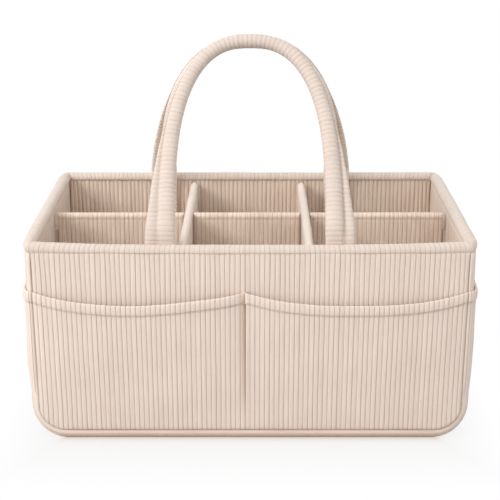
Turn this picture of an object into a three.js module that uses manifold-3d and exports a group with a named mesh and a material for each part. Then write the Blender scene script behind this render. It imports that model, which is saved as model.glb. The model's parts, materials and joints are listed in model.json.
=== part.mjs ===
import * as THREE from "three";
import { mergeVertices } from "three/addons/utils/BufferGeometryUtils.js";
import Module from "manifold-3d";

const wasm = await Module();
wasm.setup();

// Driving sizes in millimetres. The origin is on the floor under the middle of the caddy,
// the front faces -Y, the width runs along X and +Z is up.
const body_width = 380;
const body_depth = 250;
const body_height = 176;
const lower_corner = 30;
const edge_roll = 9;
const gap = 0.3;

// A wall is a ribbed cover, a foam board and a lining
const cloth = 1.6;
const wall_board = 5.2;
const wall = cloth * 2 + wall_board + gap * 2;
const board_in = cloth + gap;
const lining_in = board_in + wall_board + gap;

// The rim is a strip of the cover cloth folded over the tops of the walls
const rim_height = 8.5;
const rim_crown = 5;
const rim_corner_ease = 0.4;
const rim_width = wall + gap + cloth;
const rim_corner = rim_width + rim_corner_ease;
const rim_low = body_height - rim_height;
const cover_top = rim_low - gap;
const board_top_drop = 4.4;
const board_top = body_height - board_top_drop;
const panel_board_drop = 6.5;
const panel_board_top = body_height - panel_board_drop;
const lining_top = body_height - rim_crown - gap * 2;
const cover_edge = edge_roll + gap;
const board_edge = Math.max(rim_corner, edge_roll) + gap;

// The pockets are sheets sewn into the edge seams, with a folded hem that dips between seams
const pocket_end_height = 134;
const pocket_dip = 10.3;
const pocket_hem = 10;
const middle_seam = -3.4;
const hem_fold = 0.9;
const hem_step = 0.8;
const panel_pocket_stand = 7;
const side_pocket_stand = 6.6;
const dip_power = 2.5;
const middle_dip_power = 1.4;
const stand_power = 3;
const rise_power = 0.75;

// The handles are padded tubes with a sewn flange that widens towards the wall
const tube_thickness = 13;
const tube_width = 13;
const tube_flare = 4;
const tube_flare_power = 2.2;
const flange_width = 8.6;
const flange_run = 62;
const flange_power = 1.6;
const flange_thickness = 3.2;
const seam_ridge = 0.6;
const arch_roundness = 2.2;
const back_handle_drop = 2.3;
const front_handle = { leg: 71.5, top: 331.7, squareness: 2.9 };
const back_handle = { leg: 81, top: front_handle.top - back_handle_drop, squareness: 2.2 };
const handle_spacing = 0.6;
const fold_reach = 7.1;
const fold_lift = 7.5;
const fold_radius = 3;
const fold_neck = 4.4;
const tab_thickness = 5;
const tab_flare = 4.6;
const tab_low = 96;
const tab_corner = 6;
const fold_y = body_depth / 2 - rim_width - fold_reach;
const fold_z = body_height + fold_lift;

// The dividers are cloth sleeves over a stiff board, halved over each other
const divider_thickness = 7;
const divider_top = 166.4;
const divider_corner = 21;
const long_divider_y = 5;
const left_cross_x = -56.5;
const right_cross_x = 50.5;
const slot_ease = 0.5;
const hook_thickness = 1.2;
const loop_thickness = 1.7;
const strip_width = 6;
const strip_low = 36;
const strip_high = 150;
const divider_low = wall + gap;
const lap_height = (divider_low + divider_top) / 2;
const end_room = gap * 4 + loop_thickness + hook_thickness - gap;
const cut_over = 2;

// How finely the curved pieces are divided
const corner_steps = 7;
const roll_steps = 5;
const bay_steps = 11;
const sheet_levels = 4;
const arch_steps = 32;
const tube_sides = 11;
const core_sides = 8;

const cloth_colour = "#e2d2c3";
const lining_colour = "#d6c4b3";
const foam_colour = "#f1efe9";
const stiffener_colour = "#cfc8bd";
const nylon_colour = "#e9e2d8";

function finish(colour, roughness) {
  return new THREE.MeshStandardMaterial({ color: colour, roughness, metalness: 0 });
}

const cover_cloth = () => finish(cloth_colour, 0.95);
const lining_cloth = () => finish(lining_colour, 0.95);
const foam = () => finish(foam_colour, 0.8);
const stiffener = () => finish(stiffener_colour, 0.7);
const nylon = () => finish(nylon_colour, 0.85);

function piece(name, geometry, material) {
  const mesh = new THREE.Mesh(geometry, material);
  mesh.name = name;
  return mesh;
}

// Six times the signed volume of a closed geometry: negative when its faces point inwards
function signedVolume(geometry) {
  const corner = geometry.attributes.position;
  const index = geometry.index.array;
  const a = new THREE.Vector3();
  const b = new THREE.Vector3();
  const c = new THREE.Vector3();
  let sum = 0;
  for (let i = 0; i < index.length; i += 3) {
    a.fromBufferAttribute(corner, index[i]);
    b.fromBufferAttribute(corner, index[i + 1]);
    c.fromBufferAttribute(corner, index[i + 2]);
    sum += a.dot(b.cross(c));
  }
  return sum;
}

function faceted(points, faces) {
  const geometry = new THREE.BufferGeometry().setFromPoints(points);
  geometry.setIndex(faces.flat());
  const inward = signedVolume(geometry) < 0;
  geometry.setIndex(inward ? faces.map(([a, b, c]) => [a, c, b]).flat() : faces.flat());
  geometry.computeVertexNormals();
  return geometry;
}

// Triangles of a flat outline, each turning the same way as the outline does
function capFaces(outline) {
  const turn = Math.sign(THREE.ShapeUtils.area(outline));
  const faces = THREE.ShapeUtils.triangulateShape([...outline], []);
  return faces.map(([a, b, c]) => {
    const same = THREE.ShapeUtils.area([outline[a], outline[b], outline[c]]) * turn > 0;
    return same ? [a, b, c] : [a, c, b];
  });
}

// Quads between ring i and the next one, as triangles
function bandFaces(start, next, count) {
  const faces = [];
  for (let j = 0; j < count; j++) {
    const k = (j + 1) % count;
    faces.push([start + j, start + k, next + k], [start + j, next + k, next + j]);
  }
  return faces;
}

// A loft through rings of points. With an outline its two ends are capped, without one it
// closes on itself.
function loft(rings, outline) {
  const count = rings[0].length;
  const last = rings.length - 1;
  const faces = [];
  for (let i = 0; i < last; i++) {
    faces.push(...bandFaces(i * count, (i + 1) * count, count));
  }
  if (outline) {
    const caps = capFaces(outline);
    faces.push(...caps.map(([a, b, c]) => [a, c, b]));
    faces.push(...caps.map((face) => face.map((corner) => corner + last * count)));
  } else {
    faces.push(...bandFaces(last * count, 0, count));
  }
  return faceted(rings.flat(), faces);
}

// A loft with a bore: the outer and inner rings are joined by a flat collar at each end
function hollowLoft(outer_rings, inner_rings) {
  const count = outer_rings[0].length;
  const last = outer_rings.length - 1;
  const inner_start = outer_rings.length * count;
  const faces = [];
  for (let i = 0; i < last; i++) {
    const inside = inner_start + i * count;
    faces.push(...bandFaces(i * count, (i + 1) * count, count));
    faces.push(...bandFaces(inside + count, inside, count));
  }
  faces.push(...bandFaces(inner_start, 0, count));
  faces.push(...bandFaces(last * count, inner_start + last * count, count));
  return faceted([...outer_rings.flat(), ...inner_rings.flat()], faces);
}

// Extrudes an outline drawn in X and Z from one depth to another
function extrudeY(shape, from, to) {
  const geometry = new THREE.ExtrudeGeometry(shape, {
    depth: to - from,
    bevelEnabled: false,
    curveSegments: corner_steps,
  });
  return geometry.rotateX(Math.PI / 2).translate(0, to, 0);
}

// Extrudes an outline drawn in Y and Z from one place along the width to another
function extrudeX(shape, from, to) {
  const geometry = new THREE.ExtrudeGeometry(shape, {
    depth: to - from,
    bevelEnabled: false,
    curveSegments: corner_steps,
  });
  const turn = new THREE.Matrix4().makeBasis(
    new THREE.Vector3(0, 1, 0),
    new THREE.Vector3(0, 0, 1),
    new THREE.Vector3(1, 0, 0),
  );
  return geometry.applyMatrix4(turn).translate(from, 0, 0);
}

function outlineOf(points) {
  return new THREE.Shape(points.map(([u, v]) => new THREE.Vector2(u, v)));
}

function rectangle(left, right, low, high) {
  return outlineOf([[left, low], [right, low], [right, high], [left, high]]);
}

function toSolid(geometry) {
  const plain = geometry.clone();
  plain.deleteAttribute("normal");
  plain.deleteAttribute("uv");
  const merged = mergeVertices(plain);
  const mesh = new wasm.Mesh({
    numProp: 3,
    vertProperties: merged.attributes.position.array,
    triVerts: new Uint32Array(merged.index.array),
  });
  return new wasm.Manifold(mesh);
}

function toGeometry(solid) {
  const mesh = solid.getMesh();
  const geometry = new THREE.BufferGeometry();
  geometry.setAttribute("position", new THREE.BufferAttribute(mesh.vertProperties, 3));
  geometry.setIndex(new THREE.BufferAttribute(mesh.triVerts, 1));
  geometry.computeVertexNormals();
  return geometry;
}

// The front view of the box drawn in by inset: square at the top, round at the lower corners
function elevation(inset, top) {
  const half = body_width / 2 - inset;
  const radius = lower_corner - inset;
  const shape = new THREE.Shape();
  shape.moveTo(half, top);
  shape.lineTo(-half, top);
  shape.lineTo(-half, lower_corner);
  shape.absarc(-half + radius, lower_corner, radius, Math.PI, Math.PI * 1.5);
  shape.lineTo(half - radius, inset);
  shape.absarc(half - radius, lower_corner, radius, -Math.PI / 2, 0);
  return shape;
}

// Stations down one side of the box, under it and up the other side. Each has the centre
// that the outline turns about there and its direction.
function sideStations(top) {
  const centre = body_width / 2 - lower_corner;
  const stations = [{ x: centre, z: top, turn: 0 }];
  for (const side of [1, -1]) {
    for (let step = 0; step <= corner_steps; step++) {
      const quarter = ((side > 0 ? 0 : 1) + step / corner_steps) * (-Math.PI / 2);
      stations.push({ x: side * centre, z: lower_corner, turn: quarter });
    }
  }
  stations.push({ x: -centre, z: top, turn: -Math.PI });
  return stations;
}

function stationPoint(station, inset, y) {
  const reach = lower_corner - inset;
  const x = station.x + reach * Math.cos(station.turn);
  return new THREE.Vector3(x, y, station.z + reach * Math.sin(station.turn));
}

// A strip of one thickness from side to side under the box, between two insets
function sideStrip(stations, outer, inner, front, back) {
  const section = [[outer, front], [outer, back], [inner, back], [inner, front]];
  const rings = stations.map((station) => section.map(([n, y]) => stationPoint(station, n, y)));
  return loft(rings, section.map(([n, y]) => new THREE.Vector2(n, y)));
}

// The cover of sides and bottom, whose front and back edges roll round to the panel seams
function gussetCover() {
  const arc = (radius, side) => {
    const points = [];
    for (let step = 0; step <= roll_steps; step++) {
      const turn = (step / roll_steps) * (Math.PI / 2);
      const out = body_depth / 2 - edge_roll + radius * Math.sin(turn);
      points.push([edge_roll - radius * Math.cos(turn), side * out]);
    }
    return points;
  };
  const outside = [...arc(edge_roll, 1).reverse(), ...arc(edge_roll, -1)];
  const inside = [...arc(edge_roll - cloth, -1).reverse(), ...arc(edge_roll - cloth, 1)];
  const section = [...outside, ...inside];
  const rings = sideStations(cover_top).map((station) =>
    section.map(([inset, y]) => stationPoint(station, inset, y)),
  );
  return loft(rings, section.map(([inset, y]) => new THREE.Vector2(inset, y)));
}

// The rim's section, as distance in from the outer face and height
function rimSection() {
  const crown_low = body_height - rim_crown;
  const arch = (from, to, rise) => {
    const points = [];
    for (let step = 0; step <= roll_steps + 1; step++) {
      const turn = Math.PI * (1 - step / (roll_steps + 1));
      const middle = (from + to) / 2;
      points.push([
        middle + ((to - from) / 2) * Math.cos(turn),
        crown_low + rise * Math.sin(turn),
      ]);
    }
    return points;
  };
  const outside = arch(0, rim_width, rim_crown);
  const inside = arch(cloth, rim_width - cloth, rim_crown - cloth).reverse();
  return [[0, rim_low], ...outside, [rim_width, rim_low], [rim_width - cloth, rim_low],
    ...inside, [cloth, rim_low]];
}

function rimBinding() {
  const rings = [];
  const corners = [[1, -1], [1, 1], [-1, 1], [-1, -1]];
  corners.forEach(([side_x, side_y], quarter) => {
    for (let step = 0; step <= roll_steps; step++) {
      const turn = (quarter - 1 + step / roll_steps) * (Math.PI / 2);
      const ring = rimSection().map(([inset, z]) => {
        const reach = rim_corner - inset;
        const x = side_x * (body_width / 2 - rim_corner) + reach * Math.cos(turn);
        const y = side_y * (body_depth / 2 - rim_corner) + reach * Math.sin(turn);
        return new THREE.Vector3(x, y, z);
      });
      rings.push(ring);
    }
  });
  return loft(rings);
}

// One at the middle of a bay, falling to zero at its two seams
function fullness(share, power) {
  return 1 - Math.abs(2 * share - 1) ** power;
}

// A pocket sheet in its own frame: X across, -Y out from the wall, Z up. It is sewn down
// at the given seams and stands off the wall between them. Its hem is round towards the
// sheet's ends and runs almost straight up to a seam in its middle.
function pocketSheet(seams, most_stand, bottomAt) {
  const hem_thickness = cloth + hem_fold;
  const rings = [];
  for (let bay = 1; bay < seams.length; bay++) {
    for (let step = bay > 1 ? 1 : 0; step <= bay_steps; step++) {
      const share = (1 - Math.cos((Math.PI * step) / bay_steps)) / 2;
      const across = THREE.MathUtils.lerp(seams[bay - 1], seams[bay], share);
      const bottom = bottomAt(across);
      const to_middle = step * 2 > bay_steps ? bay < seams.length - 1 : bay > 1;
      const power = to_middle ? middle_dip_power : dip_power;
      const top = pocket_end_height - pocket_dip * fullness(share, power);
      const hem_low = top - pocket_hem;
      const stand = most_stand * fullness(share, stand_power);
      const wallSide = (z) => gap + stand * ((z - bottom) / (top - bottom)) ** rise_power;
      const levels = [];
      for (let level = 0; level <= sheet_levels; level++) {
        levels.push(THREE.MathUtils.lerp(bottom, hem_low, level / sheet_levels));
      }
      const hem_round = top - hem_thickness / 2;
      const section = [
        ...levels.map((z) => [wallSide(z), z]),
        [wallSide(hem_round), hem_round],
        [wallSide(top) + hem_thickness / 2, top],
        [wallSide(hem_round) + hem_thickness, hem_round],
        [wallSide(hem_low) + hem_thickness, hem_low + hem_step],
        ...levels.reverse().map((z) => [wallSide(z) + cloth, z]),
      ];
      rings.push(section.map(([out, z]) => new THREE.Vector3(across, -out, z)));
    }
  }
  const outline = rings[0].map((point) => new THREE.Vector2(point.y, point.z));
  return loft(rings, outline);
}

function frontPockets() {
  const half = body_width / 2 - cover_edge;
  const radius = lower_corner - cover_edge;
  const bottomAt = (across) => {
    const past = Math.max(0, Math.abs(across) - (half - radius));
    return lower_corner - Math.sqrt(Math.max(0, radius ** 2 - past ** 2));
  };
  return pocketSheet([-half, middle_seam, half], panel_pocket_stand, bottomAt);
}

function sidePocket() {
  const half = body_depth / 2 - edge_roll;
  return pocketSheet([-half, half], side_pocket_stand, () => lower_corner + gap);
}

// The middle line of a handle, up one leg, over the arch and down the other
class Arch extends THREE.Curve {
  constructor(leg, rise, squareness) {
    super();
    this.leg = leg;
    this.rise = rise;
    this.squareness = squareness;
  }

  getPoint(share, target = new THREE.Vector3()) {
    const turn = Math.PI * share;
    const across = Math.abs(Math.cos(turn)) ** (2 / arch_roundness);
    const up = Math.sin(turn) ** (2 / this.squareness);
    const foot = fold_radius + gap;
    const x = -Math.sign(Math.cos(turn)) * this.leg * across;
    return target.set(x, 0, foot + (this.rise - foot) * up);
  }
}

function handleLean(handle) {
  const apex_y = (tube_thickness + handle_spacing) / 2;
  const run = fold_y - apex_y;
  const climb = handle.top - tube_thickness / 2 - fold_z;
  return { angle: Math.atan2(run, climb), rise: Math.hypot(run, climb) };
}

// Half the tube's width and the flange's reach at a height along the leg
function strapSize(height, rise) {
  const along = THREE.MathUtils.clamp(height / rise, 0, 1);
  const flare = tube_flare * (1 - along) ** tube_flare_power;
  const run = THREE.MathUtils.clamp(height / flange_run, 0, 1);
  const flange = Math.max(flange_width * (1 - run ** flange_power), seam_ridge);
  return { half: (tube_width + flare) / 2, flange };
}

// A ring across the handle, from a section given as reach outwards and thickness
function strapRing(curve, share, section) {
  const centre = curve.getPointAt(share);
  const along = curve.getTangentAt(share);
  const outward = new THREE.Vector3(-along.z, 0, along.x);
  const ring = section(strapSize(centre.z, curve.rise));
  return ring.map(([out, thick]) => {
    const point = centre.clone().addScaledVector(outward, out);
    return point.setY(thick);
  });
}

// The tube's round side, from just over the flange all the way round to just under it
function tubeArc(half_width, half_thickness, flange_half, sides) {
  const start = Math.asin(flange_half / half_thickness);
  const points = [];
  for (let side = 0; side <= sides; side++) {
    const turn = start + ((Math.PI * 2 - start * 2) * side) / sides;
    points.push([half_width * Math.cos(turn), half_thickness * Math.sin(turn)]);
  }
  return points;
}

function handleCover(curve) {
  const half_thickness = tube_thickness / 2;
  const tip_share = 0.55;
  const outer_section = ({ half, flange }) => {
    const fold = (flange_thickness / 2) * Math.min(1, (flange + cloth) / flange_width);
    const reach = half + flange;
    return [...tubeArc(half, half_thickness, fold, tube_sides),
      [reach, -fold * tip_share], [reach, fold * tip_share]];
  };
  const inner_section = ({ half, flange }) => {
    const fold = (flange_thickness / 2) * Math.min(1, (flange + cloth) / flange_width);
    const bore = half - cloth;
    return [...tubeArc(bore, half_thickness - cloth, fold, tube_sides),
      [bore, -fold * tip_share], [bore, fold * tip_share]];
  };
  const outer = [];
  const inner = [];
  for (let step = 0; step <= arch_steps; step++) {
    outer.push(strapRing(curve, step / arch_steps, outer_section));
    inner.push(strapRing(curve, step / arch_steps, inner_section));
  }
  return hollowLoft(outer, inner);
}

function handleCore(curve) {
  const skin = cloth + gap;
  const section = ({ half }) => {
    const points = [];
    for (let side = 0; side < core_sides; side++) {
      const turn = (Math.PI * 2 * side) / core_sides;
      points.push([
        (half - skin) * Math.cos(turn),
        (tube_thickness / 2 - skin) * Math.sin(turn),
      ]);
    }
    return points;
  };
  const rings = [];
  for (let step = 0; step <= arch_steps; step++) {
    rings.push(strapRing(curve, step / arch_steps, section));
  }
  const outline = section({ half: tube_width / 2 }).map(([u, v]) => new THREE.Vector2(u, v));
  return loft(rings, outline);
}

// The flat end of a handle, sewn inside the front wall, with a round fold on top that the
// tube turns about
function handleTab(leg, side) {
  const face = body_depth / 2 - wall - gap;
  const rim_face = body_depth / 2 - rim_width - gap;
  const neck = fold_neck / 2;
  const sweep = Math.hypot(tube_thickness / 2, fold_radius + gap) + gap;
  const shoulder = fold_z - Math.sqrt(sweep ** 2 - neck ** 2);
  const profile = new THREE.Shape();
  profile.moveTo(-face, tab_low);
  profile.lineTo(-face + tab_thickness, tab_low);
  profile.lineTo(-face + tab_thickness, rim_low);
  profile.lineTo(-fold_y + neck, shoulder);
  const start = -Math.acos(neck / fold_radius);
  profile.absarc(-fold_y, fold_z, fold_radius, start, Math.PI - start);
  profile.lineTo(-fold_y - neck, shoulder);
  profile.lineTo(-rim_face, shoulder - (rim_face - fold_y - neck));
  profile.lineTo(-rim_face, rim_low - gap);
  profile.lineTo(-face, rim_low - gap - (face - rim_face));
  const inner = leg - (tube_width + tube_flare) / 2;
  const outer = leg + (tube_width + tube_flare) / 2 + flange_width;
  const wide = outer + tab_flare;
  const strap = new THREE.Shape();
  strap.moveTo(inner, fold_z + fold_radius + cut_over);
  strap.lineTo(inner, tab_low + tab_corner);
  strap.absarc(inner + tab_corner, tab_low + tab_corner, tab_corner, Math.PI, Math.PI * 1.5);
  strap.lineTo(wide - tab_corner, tab_low);
  strap.absarc(wide - tab_corner, tab_low + tab_corner, tab_corner, -Math.PI / 2, 0);
  strap.lineTo(wide, rim_low - tab_flare * 2);
  strap.lineTo(outer, rim_low);
  strap.lineTo(outer, fold_z + fold_radius + cut_over);
  const block = toSolid(extrudeX(profile, inner - cut_over, wide + cut_over));
  const shaped = block.intersect(toSolid(extrudeY(strap, -body_depth / 2, 0)));
  const geometry = toGeometry(side > 0 ? shaped : shaped.mirror([1, 0, 0]));
  return geometry;
}

// A divider's section: upright, with a half-round top
function dividerProfile(thickness, low, top) {
  const radius = thickness / 2;
  const shape = new THREE.Shape();
  shape.moveTo(-radius, low);
  shape.lineTo(radius, low);
  shape.lineTo(radius, top - radius);
  shape.absarc(0, top - radius, radius, 0, Math.PI);
  return shape;
}

// The long divider's front view, with round lower corners that follow the lining
function longOutline(inset, low) {
  const half = body_width / 2 - wall - end_room - inset;
  const radius = divider_corner;
  const shape = new THREE.Shape();
  shape.moveTo(-half, divider_top + cut_over);
  shape.lineTo(-half, low + radius);
  shape.absarc(-half + radius, low + radius, radius, Math.PI, Math.PI * 1.5);
  shape.lineTo(half - radius, low);
  shape.absarc(half - radius, low + radius, radius, -Math.PI / 2, 0);
  shape.lineTo(half, divider_top + cut_over);
  return shape;
}

// A solid of the long divider, drawn in on all sides but the bottom, with the two slots
// that the cross dividers drop into
function longSolid(inset, low) {
  const half = body_width / 2;
  const profile = dividerProfile(divider_thickness - inset * 2, low, divider_top - inset);
  const bar = toSolid(extrudeX(profile, -half, half));
  let solid = bar.intersect(toSolid(extrudeY(longOutline(inset, low), -half, half)));
  for (const x of [left_cross_x, right_cross_x]) {
    const reach = divider_thickness / 2 + slot_ease + inset;
    const cut = rectangle(x - reach, x + reach, lap_height - inset, divider_top + cut_over);
    solid = solid.subtract(toSolid(extrudeY(cut, -half, half)));
  }
  return solid.translate([0, long_divider_y, 0]);
}

// A solid of a cross divider about x = 0, with its slot from below over the long divider
function crossSolid(inset, low) {
  const half = body_depth / 2 - wall - end_room - inset;
  const profile = dividerProfile(divider_thickness - inset * 2, low, divider_top - inset);
  const reach = divider_thickness / 2 + slot_ease + inset;
  const centre = long_divider_y;
  const cut = rectangle(centre - reach, centre + reach, low - cut_over, lap_height + gap + inset);
  const slot = toSolid(extrudeX(cut, -body_width, body_width));
  return toSolid(extrudeY(profile, -half, half)).subtract(slot);
}

// A sleeve is open at the bottom, where its board goes in
function sleeve(solidOf) {
  const outside = solidOf(0, divider_low);
  return toGeometry(outside.subtract(solidOf(cloth, divider_low - cut_over)));
}

function boardIn(solidOf) {
  return toGeometry(solidOf(cloth + gap, divider_low + cloth));
}

// A strip of hook or loop tape standing on a face that looks along +Y
function tape(thickness) {
  return new THREE.BoxGeometry(strip_width, thickness, strip_high - strip_low)
    .translate(0, thickness / 2, (strip_low + strip_high) / 2);
}

// Places an upright strip at an end of a divider or on the wall that the end meets
function endTape(name, thickness, { x, y, turn }) {
  const mesh = piece(name, tape(thickness), nylon());
  mesh.position.set(x, y, 0);
  mesh.rotation.z = turn;
  return mesh;
}

function wallPieces() {
  const group = new THREE.Group();
  const front = body_depth / 2;
  const panel = (inset, top, from, to) => extrudeY(elevation(inset, top), from - front, to - front);
  for (const [side, turn] of [["front", 0], ["back", Math.PI]]) {
    const walls = new THREE.Group();
    walls.rotation.z = turn;
    walls.add(
      piece(`${side}_cover`, panel(cover_edge, cover_top, 0, cloth), cover_cloth()),
      piece(
        `${side}_board`,
        panel(board_edge, panel_board_top, board_in, lining_in - gap),
        foam(),
      ),
      piece(`${side}_lining`, panel(wall + gap, lining_top, lining_in, wall), lining_cloth()),
    );
    group.add(walls);
  }
  const board_end = front - board_edge;
  const right = sideStations(board_top).slice(0, corner_steps + 2);
  const left = sideStations(board_top).slice(corner_steps + 2);
  const sideBoard = (stations) =>
    sideStrip(stations, board_in, lining_in - gap, -board_end, board_end);
  const base_half = body_width / 2 - lower_corner - gap;
  const base = rectangle(-base_half, base_half, board_in, lining_in - gap);
  const lining_end = front - lining_in;
  group.add(
    piece("gusset_cover", gussetCover(), cover_cloth()),
    piece("right_board", sideBoard(right), foam()),
    piece("left_board", sideBoard(left), foam()),
    piece("base_board", extrudeY(base, -board_end, board_end), stiffener()),
    piece(
      "gusset_lining",
      sideStrip(sideStations(lining_top), lining_in, wall, -lining_end, lining_end),
      lining_cloth(),
    ),
    piece("rim_binding", rimBinding(), cover_cloth()),
  );
  return group;
}

function pocketPieces() {
  const group = new THREE.Group();
  const places = [
    ["front_pockets", frontPockets, 0, body_depth / 2],
    ["right_pocket", sidePocket, Math.PI / 2, body_width / 2],
    ["back_pockets", frontPockets, Math.PI, body_depth / 2],
    ["left_pocket", sidePocket, -Math.PI / 2, body_width / 2],
  ];
  for (const [name, sheet, turn, reach] of places) {
    const side = new THREE.Group();
    side.rotation.z = turn;
    const mesh = piece(name, sheet(), cover_cloth());
    mesh.position.y = -reach;
    side.add(mesh);
    group.add(side);
  }
  return group;
}

// One handle with its two sewn tabs, drawn at the front and turned round for the back
function handlePieces(side, handle, turn) {
  const lean = handleLean(handle);
  const curve = new Arch(handle.leg, lean.rise, handle.squareness);
  const tilt = new THREE.Group();
  tilt.position.set(0, -fold_y, fold_z);
  tilt.rotation.x = -lean.angle;
  tilt.add(
    piece(`${side}_handle_cover`, handleCover(curve), cover_cloth()),
    piece(`${side}_handle_core`, handleCore(curve), foam()),
  );
  const group = new THREE.Group();
  group.rotation.z = turn;
  const right = turn === 0 ? "right" : "left";
  const left = turn === 0 ? "left" : "right";
  group.add(
    tilt,
    piece(`${side}_${right}_handle_tab`, handleTab(handle.leg, 1), cover_cloth()),
    piece(`${side}_${left}_handle_tab`, handleTab(handle.leg, -1), cover_cloth()),
  );
  return group;
}

function dividerPieces() {
  const group = new THREE.Group();
  const loop_in = gap;
  const hook_in = loop_in + loop_thickness + gap;
  const half_width = body_width / 2 - wall;
  const half_depth = body_depth / 2 - wall;
  group.add(
    piece("long_divider_cover", sleeve(longSolid), cover_cloth()),
    piece("long_divider_board", boardIn(longSolid), stiffener()),
  );
  for (const [side, sign, turn] of [["left", -1, -Math.PI / 2], ["right", 1, Math.PI / 2]]) {
    const at = (inset) => ({ x: sign * (half_width - inset), y: long_divider_y, turn });
    group.add(
      endTape(`${side}_wall_loop`, loop_thickness, at(loop_in)),
      endTape(`long_divider_${side}_hook`, hook_thickness, at(hook_in)),
    );
  }
  for (const [side, x] of [["left", left_cross_x], ["right", right_cross_x]]) {
    const cover = piece(`${side}_cross_cover`, sleeve(crossSolid), cover_cloth());
    const board = piece(`${side}_cross_board`, boardIn(crossSolid), stiffener());
    cover.position.x = x;
    board.position.x = x;
    group.add(cover, board);
    for (const [end, sign, turn] of [["front", -1, 0], ["back", 1, Math.PI]]) {
      const at = (inset) => ({ x, y: sign * (half_depth - inset), turn });
      group.add(
        endTape(`${end}_${side}_loop`, loop_thickness, at(loop_in)),
        endTape(`${side}_cross_${end}_hook`, hook_thickness, at(hook_in)),
      );
    }
  }
  return group;
}

const caddy = new THREE.Group();
caddy.add(
  wallPieces(),
  pocketPieces(),
  handlePieces("front", front_handle, 0),
  handlePieces("back", back_handle, Math.PI),
  dividerPieces(),
);

export default caddy;
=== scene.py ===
# %% [markdown]
# # A ribbed cloth caddy with two handles and lift-out dividers
# The real caddy is sewn from wide-rib corduroy over foam boards. Its sizes, joints and hidden
# boards come from a CAD model, which is the frame here: every piece made below is laid over
# the node that it stands for. Most pieces ride on that node's body, so that the dividers and
# the handles' foam and flange thread move; the two handle straps are given no body and stay
# where they are laid.
# %% Load the frame
import json
import math

import bmesh
import bpy
import numpy as np
from mathutils import Matrix, Vector


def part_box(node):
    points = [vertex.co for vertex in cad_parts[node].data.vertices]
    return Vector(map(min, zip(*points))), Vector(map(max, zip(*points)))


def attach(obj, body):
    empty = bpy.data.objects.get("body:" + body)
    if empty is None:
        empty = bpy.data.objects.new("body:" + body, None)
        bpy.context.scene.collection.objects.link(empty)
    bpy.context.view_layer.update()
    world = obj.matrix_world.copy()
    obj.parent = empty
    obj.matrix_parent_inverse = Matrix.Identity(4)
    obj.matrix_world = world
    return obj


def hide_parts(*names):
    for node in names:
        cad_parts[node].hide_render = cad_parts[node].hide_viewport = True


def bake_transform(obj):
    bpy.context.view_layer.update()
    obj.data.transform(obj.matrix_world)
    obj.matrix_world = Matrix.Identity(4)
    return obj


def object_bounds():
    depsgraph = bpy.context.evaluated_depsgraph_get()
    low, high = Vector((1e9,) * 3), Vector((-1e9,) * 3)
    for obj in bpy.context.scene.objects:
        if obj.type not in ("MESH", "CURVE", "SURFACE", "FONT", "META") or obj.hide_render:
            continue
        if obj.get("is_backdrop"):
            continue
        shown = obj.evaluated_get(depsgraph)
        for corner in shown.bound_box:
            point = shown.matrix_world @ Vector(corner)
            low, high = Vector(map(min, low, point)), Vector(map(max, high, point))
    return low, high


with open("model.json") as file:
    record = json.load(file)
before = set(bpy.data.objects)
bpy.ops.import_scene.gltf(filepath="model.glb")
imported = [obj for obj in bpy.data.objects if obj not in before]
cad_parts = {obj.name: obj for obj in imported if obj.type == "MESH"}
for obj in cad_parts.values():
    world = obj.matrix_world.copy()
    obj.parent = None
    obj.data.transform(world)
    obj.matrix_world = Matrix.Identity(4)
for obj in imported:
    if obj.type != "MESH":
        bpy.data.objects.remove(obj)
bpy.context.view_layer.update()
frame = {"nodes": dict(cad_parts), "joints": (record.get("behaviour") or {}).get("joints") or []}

mm = 0.001

# %% [markdown]
# ## Sizes of the box
# A sewn box has few sizes: its outside, the radius of its lower corners, and how far the cloth
# rolls round the upright edges. The outer sizes are read from the frame, so that the cloth
# can't drift away from the boards, and only what a box can't tell is typed.
# %% Sizes of the box
body_low, body_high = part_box("gusset_cover")
side_tuck = 0.8 * mm
half_width, half_depth = body_high.x - side_tuck, body_high.y
rim_low, rim_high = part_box("rim_binding")
panel_low, panel_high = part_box("front_cover")
lining_low, lining_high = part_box("front_lining")
lining_face = -lining_high.y
side_lining_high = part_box("gusset_lining")[1]
gap = 0.3 * mm
cloth = 1.6 * mm
lower_corner = 31.3 * mm
seam_overlap = 0.4 * mm
edge_roll = half_width - panel_high.x + seam_overlap
roll_depth = 18.5 * mm
seam_lean = 2.2 * mm
wall = half_depth - lining_face
print("Wall", round(wall / mm, 2), "mm thick, rim at", round(rim_high.z / mm, 1), "mm")

# %% [markdown]
# ## The ribs of the cloth
# Corduroy has raised cords of pile with a narrow groove between them. Here a cord is 4.1 mm
# wide, so it shows from across a room and can't be left to a bump map: at the rim and the
# hems it breaks the outline. Each cord gets a few columns of vertices, close together at the
# groove, and one power curve lifts them into a flat-topped ridge.
# %% Rib profile
rib_pitch = 4.1 * mm
rib_height = 0.62 * mm
rib_squareness = 12
rib_unevenness_share = 0.16
sag_power = 3.5
close_shares = np.array([0, 0.035, 0.09, 0.34, 0.66, 0.91, 0.965])
wide_shares = np.array([0, 0.1, 0.5, 0.9])


def columns_of(count, shares=close_shares):
    """Where the columns of vertices of so many ribs lie, in ribs."""
    return np.append((np.arange(count)[:, None] + shares).ravel(), count)


def rib_columns(length, shares=close_shares):
    """The number of ribs in a length, and their columns."""
    count = round(length / rib_pitch)
    return count, columns_of(count, shares)


def rib_lift(across):
    """Zero on top of a rib and minus its height in the groove, a little different each rib."""
    side = np.abs(2 * (across % 1) - 1)
    fullness_of_rib = 1 + rib_unevenness_share * np.sin(np.floor(across) * 2.3)
    return rib_height * (fullness_of_rib * (1 - side**rib_squareness) - 1)


def ripple(a, b):
    """Slow unevenness of sewn cloth, from -1 to 1, at two places given in metres."""
    waves = ((61, 23, 0.3), (-37, 74, 1.9), (112, 58, 4.1), (19, -131, 2.6))
    return sum(np.sin(p * a + q * b + start) for p, q, start in waves) / len(waves)


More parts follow.
